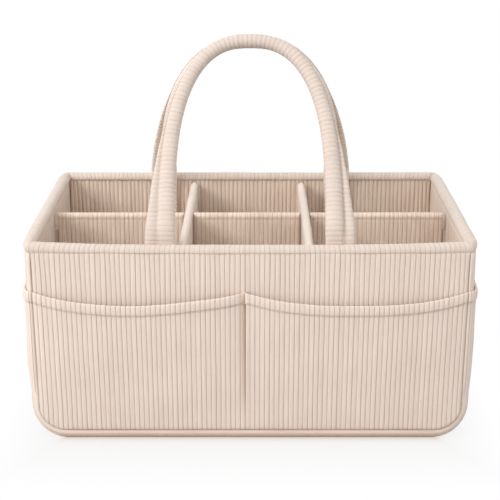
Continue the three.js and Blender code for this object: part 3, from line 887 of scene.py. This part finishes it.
# %% [markdown]
# ## Dividers
# A divider is a cloth sleeve over a stiff board. Its top edge is padded and stitched off, and
# where two dividers cross each has a slot for the other. Only one face is laid, in front view.
# The faces in the slots are deleted, the half thickness falls to nothing at every edge, and a
# mirror makes the other face and closes the shape along all its edges at once.
# %% Divider shape
divider_half_thickness = 3.5 * mm
divider_corner = 21 * mm
divider_roll = 0.3 * mm
divider_stitch = 5.6 * mm
slot_reach = 4 * mm
end_sharpness = 2.5
long_rib_share = 0.8
cross_rib_share = 0.15
cross_rise = 1.5 * mm
cross_corner = 0.5 * mm
divider_roll_drop = 3 * mm
divider_roll_spread = 2.5 * mm
divider_stitch_depth = 0.35 * mm
divider_stitch_spread = 0.9 * mm
divider_slack = 0.25 * mm
divider_tuck = 0.1 * mm
rows_to_lap = np.concatenate([[0, 0.01, 0.03, 0.06], np.linspace(0.12, 0.95, 9),
                              [0.98, 1, 1.02]])
rows_under_top = mm * np.array([66, 54, 42, 30, 20, 13, 9, 7.2, 6.4, 5.6, 4.8, 4, 3, 2, 1.2,
                                0.6, 0.2, 0])
left_turn = -0.009
divider_low, divider_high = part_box("long_divider_cover")
lap_height = (divider_low.z + divider_high.z) / 2


class Divider:
    """One divider in front view, about x = 0, with slots open at its top or at its bottom."""

    def __init__(self, half, top, corner, slots, slots_above, turn, offset):
        self.half, self.top, self.corner, self.slots = half, top, corner, slots
        self.slots_above, self.offset = slots_above, offset
        self.move = Matrix.Translation(offset) @ Matrix.Rotation(turn, 4, "Z")
        self.count, columns = rib_columns(2 * half)
        for slot in slots:
            for edge in (slot - slot_reach, slot + slot_reach):
                rib = (edge / half + 1) / 2 * self.count
                columns[np.argmin(np.abs(columns - rib))] = rib
        self.columns = columns

    def bottom(self, across):
        past = np.maximum(np.abs(across) - (self.half - self.corner), 0)
        rise = self.corner - np.sqrt(np.maximum(self.corner**2 - past**2, 0))
        return divider_low.z + rise

    def place(self, u, v, lift=None, face=-1):
        """v runs from 0 to 1 up to the lap and to 2 at the top."""
        across = (2 * u / self.count - 1) * self.half
        bottom = self.bottom(across)
        up = bottom + (lap_height - bottom) * np.clip(v, 0, 1)
        up = up + (self.top - lap_height) * np.clip(v - 1, 0, 1)
        from_end = end_sharpness * (self.half - np.abs(across))
        edge = np.minimum(from_end, np.minimum(self.top - up, up - bottom))
        past_lap = np.maximum((lap_height - up) * (1 if self.slots_above else -1), 0)
        for slot in self.slots:
            beside = np.maximum(np.abs(across - slot) - slot_reach, 0)
            edge = np.minimum(edge, np.hypot(beside, past_lap))
        roundness = rounded(edge / divider_half_thickness)
        under_top = self.top - up
        tilt = 1 - np.clip(under_top / divider_half_thickness, 0, 1)
        share = long_rib_share if self.slots_above else cross_rib_share
        out = rib_lift(u) * share * (1 - 0.8 * tilt) if lift is None else lift
        stitched = dent(under_top - divider_stitch, divider_stitch_spread)
        shape = divider_roll * dent(under_top - divider_roll_drop, divider_roll_spread)
        shape = shape - divider_stitch_depth * stitched
        shape = shape + divider_slack * ripple(across, up) - divider_tuck
        thick = (divider_half_thickness + shape + out) * roundness
        return across, face * thick, up + out * tilt

    def placed(self, u, v, lift, face):
        """The same, but where the divider stands in the caddy."""
        local = np.column_stack(self.place(u, v, lift, face))
        return (local @ np.array(self.move.to_3x3()).T + np.array(self.offset)).T

    def in_slot(self, point):
        beyond = point.z > lap_height if self.slots_above else point.z < lap_height
        return beyond and any(abs(point.x - slot) < slot_reach for slot in self.slots)

    def build(self, name):
        rows = np.append(rows_to_lap, 2 - rows_under_top / (self.top - lap_height))
        mesh = lay_cloth(name, self.columns, rows, self.place, lap_height)
        bm = bmesh.new()
        bm.from_mesh(mesh)
        cut = [face for face in bm.faces if self.in_slot(face.calc_center_median())]
        bmesh.ops.delete(bm, geom=cut, context="FACES")
        whole = bm.verts[:] + bm.edges[:] + bm.faces[:]
        bmesh.ops.mirror(bm, geom=whole, axis="Y", merge_dist=weld_reach)
        bmesh.ops.transform(bm, matrix=self.move, verts=bm.verts)
        bm.to_mesh(mesh)
        bm.free()
        return weld(mesh, closed=True)


# %% The three dividers
long_slots = {}
for side in ("left", "right"):
    low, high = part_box(side + "_cross_cover")
    long_slots[side] = (low.x + high.x) / 2
long_y = (divider_low.y + divider_high.y) / 2
cross_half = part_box("left_cross_cover")[1].y
dividers = {
    "long_divider": Divider(
        divider_high.x, divider_high.z, divider_corner, tuple(long_slots.values()), True, 0,
        Vector((0, long_y, 0)),
    )
}
for side, x in long_slots.items():
    turn = math.pi / 2 + (left_turn if side == "left" else 0)
    dividers[side + "_cross"] = Divider(
        cross_half, divider_high.z + cross_rise, cross_corner, (long_y,), False, turn,
        Vector((x, 0, 0)),
    )
divider_bodies = {"long_divider": "long_divider", "left_cross": "left_cross_divider",
                  "right_cross": "right_cross_divider"}
for name, divider in dividers.items():
    cloth_of_sleeve = lining_cloth if divider.slots_above else smooth_cloth
    sleeve = show(divider.build(name + "_sleeve"), cloth_of_sleeve,
                  divider_bodies[name], [name + "_cover"])

# %% [markdown]
# ## Handles
# Each handle is a foam-filled tube whose cloth is closed along its outer edge by a sewn flange.
# The flange grows towards the wall, and there the strap goes flat and is sewn inside the wall.
# The whole of it, from tab to tab, is one closed skin: a section is drawn as a rule of the
# distance from the fold, and is carried along a line that is smoothed where it bends.
# %% The middle line of a handle
tube_thickness = 12 * mm
tube_width = 11.8 * mm
tube_flare = 4 * mm
flange_width = 9.4 * mm
flange_run = 125 * mm
flange_sewn = 70 * mm
flange_thickness = 4.6 * mm
seam_ridge = 0.6 * mm
handle_spacing = 0.6 * mm
arch_roundness = 2.4
handle_foot = 3.3 * mm
tab_middle = 2.5 * mm
neck_middle = 2.6 * mm
tab_bend = 8 * mm
hinge = next(joint for joint in frame["joints"] if joint["name"] == "front_handle_swing")
fold_y, fold_z = -hinge["pos_m"][1], hinge["pos_m"][2]
tab_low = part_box("front_left_handle_tab")[0].z
tab_y = half_depth - wall - gap - tab_middle
under_rim_y = half_depth - rim_width - gap - neck_middle
line_step = 0.5 * mm
smooth_steps = 19


class HandleLine:
    """The line from tab to tab, its lean, and the distance above the fold."""

    def __init__(self, leg, tab_leg, top, squareness):
        run = fold_y - (tube_thickness + handle_spacing) / 2
        climb = top - tube_thickness / 2 - fold_z
        self.lean = math.atan2(run, climb)
        self.rise = math.hypot(run, climb)
        turn = np.linspace(0, math.pi, 1601)
        x = -np.sign(np.cos(turn)) * leg * np.abs(np.cos(turn)) ** (2 / arch_roundness)
        up = handle_foot + (self.rise - handle_foot) * np.abs(np.sin(turn)) ** (2 / squareness)
        arch = np.column_stack([x, up * math.sin(self.lean) - fold_y,
                                up * math.cos(self.lean) + fold_z, np.full(len(x), self.lean)])
        neck = math.atan2(under_rim_y - fold_y, fold_z - rim_low.z)
        neck_leg = (leg + tab_leg) / 2
        foot = np.array([
            (-tab_leg, -tab_y, tab_low, 0), (-tab_leg, -tab_y, rim_low.z - tab_bend, 0),
            (-neck_leg, -under_rim_y, rim_low.z, neck / 2), (-leg, -fold_y, fold_z, neck),
        ])
        other_foot = foot[::-1] * np.array([-1, 1, 1, 1])
        stations = np.concatenate([foot, arch, other_foot])
        runs = np.linalg.norm(np.diff(stations[:, :3], axis=0), axis=1)
        distance = np.concatenate([[0], np.cumsum(runs)])
        self.length = distance[-1]
        self.fold_at = distance[len(foot) - 1]
        self.steps = np.linspace(0, self.length, round(self.length / line_step))
        laid = [np.interp(self.steps, distance, column) for column in stations.T]
        self.line = np.column_stack([self.smooth(column) for column in laid])
        self.along = np.gradient(self.line[:, :3], self.steps, axis=0)

    def smooth(self, values):
        window = np.hanning(smooth_steps + 2)[1:-1]
        padded = np.pad(values, smooth_steps // 2, mode="reflect", reflect_type="odd")
        return np.convolve(padded, window / window.sum(), mode="valid")

    def above_fold(self, distance):
        return np.minimum(distance, self.length - distance) - self.fold_at

    def read(self, distance, columns):
        values = [np.interp(distance, self.steps, column) for column in columns.T]
        return np.column_stack(values)

    def frame_at(self, distance):
        """The point, the direction outwards in the handle's plane and the one through it."""
        line = self.read(distance, self.line)
        point, lean = line[:, :3], line[:, 3]
        along = self.read(distance, self.along)
        through = np.column_stack([np.zeros(len(lean)), np.cos(lean), -np.sin(lean)])
        outward = np.cross(along, through)
        outward = outward / np.linalg.norm(outward, axis=1)[:, None]
        return point, outward, through


# %% The section of a handle
tube_rows = 23
flange_reach_shares = np.array([0.04, 0.3, 0.68, 0.93, 1, 0.93, 0.68, 0.3, 0.04])
flange_side_shares = np.array([-0.45, -0.95, -1, -0.7, 0, 0.7, 1, 0.95, 0.45])
strap_rows = tube_rows + len(flange_reach_shares)
tab_round = 6 * mm
strap_rib_share = 0.4
tube_flare_power = 1.9
flange_power = 1.25
tab_flare = 1.6 * mm
end_round = 2.3 * mm
fold_steps = [-30, -24, -18, -12, -8, -3, 2, 6, 10]
half_at_steps = [2.3, 2.3, 2, 2.6, 3.4, 4.4, 5.3, 5.8, 6]
# Darkness of the painted shade where a handle's flange meets its tube
root_shade = 0.4


def strap_sizes(line, distance):
    """Half width and half thickness of the tube, reach and half thickness of the flange, the
    squareness, the share of thickness left at an end, and how far its corners draw in."""
    above = line.above_fold(distance)
    along = np.clip(above / line.rise, 0, 1)
    half = (tube_width + tube_flare * (1 - along) ** tube_flare_power) / 2
    half_thickness = np.interp(above / mm, fold_steps, half_at_steps) * mm
    run = np.clip(above / flange_run, 0, 1)
    reach = np.maximum(flange_width * (1 - run) ** flange_power, seam_ridge)
    reach = reach + tab_flare * np.clip((-16 - above / mm) / 10, 0, 1)
    flange = flange_thickness / 2 * np.minimum(1, (reach + cloth) / flange_width)
    flange = np.minimum(flange, half_thickness * 0.8)
    power = np.interp(above / mm, [-22, -8], [5, 2.2])
    to_end = np.minimum(distance, line.length - distance)
    end = rounded(to_end / end_round)
    drawn_in = tab_round - np.sqrt(tab_round**2 - np.maximum(tab_round - to_end, 0) ** 2)
    return half, half_thickness, reach, flange, power, end, drawn_in


def strap_section(line, distance, row):
    """A point of the section, as reach outwards in the handle's plane and through it."""
    half, half_thickness, reach, flange, power, end, drawn_in = strap_sizes(line, distance)
    row = row % strap_rows
    start = np.arcsin(np.clip(flange / half_thickness, 0, 0.9))
    turn = start + 2 * (math.pi - start) * np.minimum(row / (tube_rows - 1), 1)
    cosine, sine = np.cos(turn), np.sin(turn)
    tube_out = half * np.sign(cosine) * np.abs(cosine) ** (2 / power)
    tube_through = half_thickness * np.sign(sine) * np.abs(sine) ** (2 / power)
    step = np.clip(row - tube_rows, 0, len(flange_reach_shares) - 1)
    order = np.arange(len(flange_reach_shares))
    flange_out = half + reach * np.interp(step, order, flange_reach_shares)
    flange_through = flange * np.interp(step, order, flange_side_shares)
    on_tube = row <= tube_rows - 1
    out = np.where(on_tube, tube_out, flange_out)
    through = np.where(on_tube, tube_through, flange_through) * end
    middle = reach / 2
    return middle + (out - middle) * (1 - drawn_in / (half + middle)), through, end


def on_line(line, distance, out, through, turn):
    """A point beside the line. The back handle is the front one turned half round."""
    point, outward, across = line.frame_at(distance)
    point = point + outward * out[:, None] + across * through[:, None]
    side = math.cos(turn)
    return point[:, 0] * side, point[:, 1] * side, point[:, 2]


def strap_place(line, count, turn):
    def place(u, v, lift=None, shade=False):
        distance = u / count * line.length
        # painted shade: darker where the flange meets the tube, where the flange stands out
        if shade:
            root = np.minimum(np.minimum(v, strap_rows - v), np.abs(v - tube_rows + 0.5))
            open_share = np.clip(strap_sizes(line, distance)[2] / (4 * mm), 0, 1)
            return root_shade * np.clip(1 - root, 0, 1) * open_share
        out, through, end = strap_section(line, distance, v)
        before = strap_section(line, distance, v - 1)
        after = strap_section(line, distance, v + 1)
        slope_out, slope_through = after[0] - before[0], after[1] - before[1]
        size = np.hypot(slope_out, slope_through) + 1e-9
        ribs = (rib_lift(u) * strap_rib_share if lift is None else lift) * end
        out = out + ribs * slope_through / size
        through = through - ribs * slope_out / size
        return on_line(line, distance, out, through, turn)

    return place


# %% [markdown]
# ## The foam in a handle
# Foam fills the tube from fold to fold. It is laid on the same line as the cloth and is a
# little smaller all round, so that it can't show through. The CAD model's own core is plainer
# and lies up to a few millimetres beside that line, so this one takes its place.
# %% The foam inside a handle
core_shares = np.linspace(0, 1, 91)
core_rows = 14
core_foot = 9 * mm
core_clear = 1.9 * mm
core_end = 3 * mm


def core_place(line, turn):
    """U is the share of the core's length, and v counts the steps round its section."""
    start = line.fold_at + core_foot
    length = line.length - 2 * start

    def place(u, v):
        half, half_thickness = strap_sizes(line, start + u * length)[:2]
        to_end = np.minimum(u, 1 - u) * length
        end = rounded(to_end / core_end)
        angle = v / core_rows * 2 * math.pi
        out = (half - core_clear) * end * np.cos(angle)
        through = (half_thickness - core_clear) * end * np.sin(angle)
        return on_line(line, start + u * length, out, through, turn)

    return place


# %% The two handles
handles = {}
# The front handle wears the darker copy of the corduroy as painted shade, the back handle the
# paler copy as painted light
for side, turn, leg, tab_leg, top, squareness, wear in (
    ("front", 0, 70.6 * mm, 71.5 * mm, 331.7 * mm, 2.9, shaded_handle_cloth),
    ("back", math.pi, 80.3 * mm, 81 * mm, 329.4 * mm, 2.1, lit_handle_cloth),
):
    line = HandleLine(leg, tab_leg, top, squareness)
    count, columns = rib_columns(line.length, wide_shares)
    place = strap_place(line, count, turn)
    strap = lay_cloth(side + "_strap", columns, np.arange(strap_rows + 1), place, 2 * mm,
                      shaded=True)
    covered = [side + "_handle_cover", side + "_left_handle_tab",
               side + "_right_handle_tab"]
    strap = show(weld(strap, closed=True), wear, None, covered)
    facing = math.cos(turn)
    fold = Vector((0, -fold_y * facing, fold_z))
    side + "_handle"
    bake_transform(strap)
    handles[side] = (line, count, place)
    core = lay_cloth(side + "_core", core_shares, np.arange(core_rows + 1),
                     core_place(line, turn), 1)
    show(weld(core, closed=True), foam, side + "_handle", [side + "_handle_core"])

# %% [markdown]
# ## Sewing thread
# The stitches are about 3 mm long, which the eye reads as a dotted line from a step away. Each
# is a small stretched ball, laid half sunk in the cloth along the line where the rule of that
# cloth says the surface is. There are well over two thousand, so each has only 20 faces.
# %% Stitches
stitch_pitch = 3.3 * mm
thread_radius = 0.3 * mm
stitch_share = 0.42
thread_lift = 0.05 * mm
thread_spread = 1.15
stitch_clear = 3 * mm
seam_start = 4 * mm
tab_sewn_stop = 22 * mm


def sew(bm, place, u, level, *settings):
    """A stitch in each step between the places u along a line at one level of the cloth."""
    v = np.full(len(u), level)
    points = np.column_stack(place(u, v, thread_lift, *settings))
    above = np.column_stack(place(u, v, thread_lift + mm, *settings))
    for start, end, over in zip(points[:-1], points[1:], above[:-1]):
        run = Vector(end - start)
        ahead = run.normalized()
        up = Vector(over - start)
        up = (up - ahead * up.dot(ahead)).normalized()
        axes = Matrix((ahead, up.cross(ahead), up)).transposed().to_4x4()
        width = thread_radius * thread_spread
        size = Matrix.Diagonal((run.length * stitch_share, width, thread_radius, 1))
        middle = Matrix.Translation(Vector(start + end) / 2)
        bmesh.ops.create_icosphere(bm, subdivisions=1, radius=1, matrix=middle @ axes @ size)


def thread_piece(name, bm, body):
    mesh = bpy.data.meshes.new(name)
    bm.to_mesh(mesh)
    bm.free()
    mesh.shade_smooth()
    show(mesh, thread, body)


def even(start, end, length):
    """Values from start to end, one for each stitch that the length takes."""
    return np.linspace(start, end, max(2, round(length / stitch_pitch)))


# %% Stitches of the rim and the pockets
bm = bmesh.new()
around = even(0, rim_count, rim_path.length)
for level in (rim_stitch / rim_face, 3 - rim_stitch / (rim_face - back_lining_rise)):
    sew(bm, rim_place, around, level)
thread_piece("rim_thread", bm, "caddy")

bm = bmesh.new()
for side, (place, count) in pocket_rules.items():
    across = even(1, count - 1, (count - 2) * rib_pitch)
    level = 1 + hem_stitch / (hem_height - hem_radius)
    sew(bm, place, across, level)
thread_piece("hem_thread", bm, "caddy")

# %% Stitches of the dividers
for name, divider in dividers.items():
    bm = bmesh.new()
    level = 2 - divider_stitch / (divider.top - lap_height)
    stretches = [-divider.half + stitch_clear]
    beside = slot_reach + stitch_clear
    if divider.slots_above:
        for slot in divider.slots:
            stretches += [slot - beside, slot + beside]
    stretches.append(divider.half - stitch_clear)
    for start, end in zip(stretches[::2], stretches[1::2]):
        ribs = [(x / divider.half + 1) / 2 * divider.count for x in (start, end)]
        across = even(*ribs, end - start)
        for face in (-1, 1):
            sew(bm, divider.placed, across, level, face)
    thread_piece(name + "_thread", bm, divider_bodies[name])

# %% Stitches of the handles and their tabs
flange_rows = (tube_rows - 0.4, strap_rows - 0.6)
for side, (line, count, place) in handles.items():
    bm = bmesh.new()
    tabs = bmesh.new()
    for leg_side in (0, 1):
        ends = [line.fold_at + seam_start, line.fold_at + flange_sewn]
        tab_ends = [seam_start, line.fold_at - tab_sewn_stop]
        if leg_side:
            ends = [line.length - end for end in ends]
            tab_ends = [line.length - end for end in tab_ends]
        u = even(ends[0], ends[1], flange_sewn) / line.length * count
        for row in flange_rows:
            sew(bm, place, u, row)
        u = even(tab_ends[0], tab_ends[1], abs(tab_ends[1] - tab_ends[0])) / line.length * count
        for row in (1, tube_rows // 2 - 1.5):
            sew(tabs, place, u, row)
    thread_piece(side + "_handle_thread", bm, side + "_handle")
    thread_piece(side + "_tab_thread", tabs, "caddy")

# %% [markdown]
# ## Boards and tape from the frame
# The foam boards, the divider boards and the tape are plain shapes even on the real caddy, so
# the CAD nodes stay as they are and only take a finish.
# %% Finishes of the frame's own nodes
for name, node in frame["nodes"].items():
    if node.hide_render:
        continue
    if "hook" in name:
        finish = hook_tape
    elif "loop" in name:
        finish = loop_tape
    elif name in ("front_board", "back_board", "left_board", "right_board"):
        finish = foam
    else:
        finish = felt_board
    for slot in node.material_slots:
        slot.material = finish
    print(name, "wears", finish.name)

# %% [markdown]
# ## Floor, light and camera
# The photograph is a product shot: a white ground with a soft shadow only under the caddy. The
# floor keeps its shadow because part of its colour is real shading, and the rest is white for
# the camera alone. Next to the caddy the floor's colour is warmed, a painted bounce of light
# from the cloth. The room gives even light from all sides, one broad lamp at the left gives
# the shapes their shade, and the camera stands where the size of the real caddy puts it.
# %% Floor
floor_half = 4
shade_reach = 100 * mm
contact_reach = 26 * mm
side_narrowing = 1.7
bm = bmesh.new()
bmesh.ops.create_grid(bm, x_segments=1, y_segments=1, size=floor_half)
floor_mesh = bpy.data.meshes.new("floor")
bm.to_mesh(floor_mesh)
bm.free()
floor = bpy.data.objects.new("floor", floor_mesh)
bpy.context.scene.collection.objects.link(floor)
ground = Finish("ground", roughness=0.9, sheen=0)
white = ground.node("Emission", None, {"Color": (1, 1, 1, 1), "Strength": 1})
seen = ground.node("LightPath", output="Is Camera Ray")
spot = ground.place()
past_side = abs(ground.part(spot, "X")) - (half_width - lower_corner)
past_front = abs(ground.part(spot, "Y")) - (half_depth - base_depth)
away = (past_side * side_narrowing).at_least(past_front).at_least(0)
nearly = (1 - away * (1 / shade_reach)).at_least(0)
touching = (1 - away * (1 / contact_reach)).at_least(0)
shade_share = nearly * 0.2 + touching**4 * 0.6
# painted light: a warm tint near the caddy, standing in for light bounced off the cloth
ground_with_painted_bounce = ground.mix(touching, (0.5, 0.49, 0.48, 1), (0.66, 0.47, 0.34, 1))
ground.feed(ground.shader.inputs["Base Color"], ground_with_painted_bounce)
look = ground.node("MixShader", None, {0: seen * (1 - shade_share),
                                       1: Value(ground, ground.shader.outputs[0]), 2: white})
ground.feed(ground.tree.nodes["Material Output"].inputs["Surface"], look)
floor_mesh.materials.append(ground.material)
floor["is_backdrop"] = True

# %% World
world = bpy.data.worlds.new("studio")
bpy.context.scene.world = world
world.use_nodes = True
room = world.node_tree
background = room.nodes["Background"]
background.inputs["Color"].default_value = (1, 1, 1, 1)
room_light = 1.05
rays = room.nodes.new("ShaderNodeLightPath")
shown = rays.outputs["Is Camera Ray"]
for ray in ("Is Glossy Ray", "Is Transmission Ray"):
    either = room.nodes.new("ShaderNodeMath")
    either.operation = "MAXIMUM"
    room.links.new(shown, either.inputs[0])
    room.links.new(rays.outputs[ray], either.inputs[1])
    shown = either.outputs[0]
level = room.nodes.new("ShaderNodeMapRange")
level.inputs["To Min"].default_value = room_light
level.inputs["To Max"].default_value = 1
room.links.new(shown, level.inputs["Value"])
room.links.new(level.outputs["Result"], background.inputs["Strength"])

# %% Lamp
lamp_target = Vector((0, 0, 0.15))
light = bpy.data.lights.new("key", "AREA")
light.shape = "DISK"
light.size = 1.1
light.energy = 34
lamp = bpy.data.objects.new("key", light)
lamp.location = (-1.9, -1.3, 1.5)
lamp.rotation_euler = (lamp_target - lamp.location).to_track_quat("-Z", "Y").to_euler()
bpy.context.scene.collection.objects.link(lamp)

# %% Camera
camera_data = bpy.data.cameras.new("camera")
camera_data.sensor_width = 36
camera_data.lens = 97.41
camera = bpy.data.objects.new("camera", camera_data)
camera.location = (-0.0002, -1.1943, 0.4972)
camera.rotation_euler = (math.radians(72.995), 0, 0)
bpy.context.scene.collection.objects.link(camera)
bpy.context.scene.camera = camera
bpy.context.scene.view_settings.view_transform = "Standard"

bpy.context.view_layer.update()
visual_low, visual_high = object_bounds()
visual_span = [round(side / mm, 1) for side in visual_high - visual_low]
print("The visual model spans", visual_span, "mm")
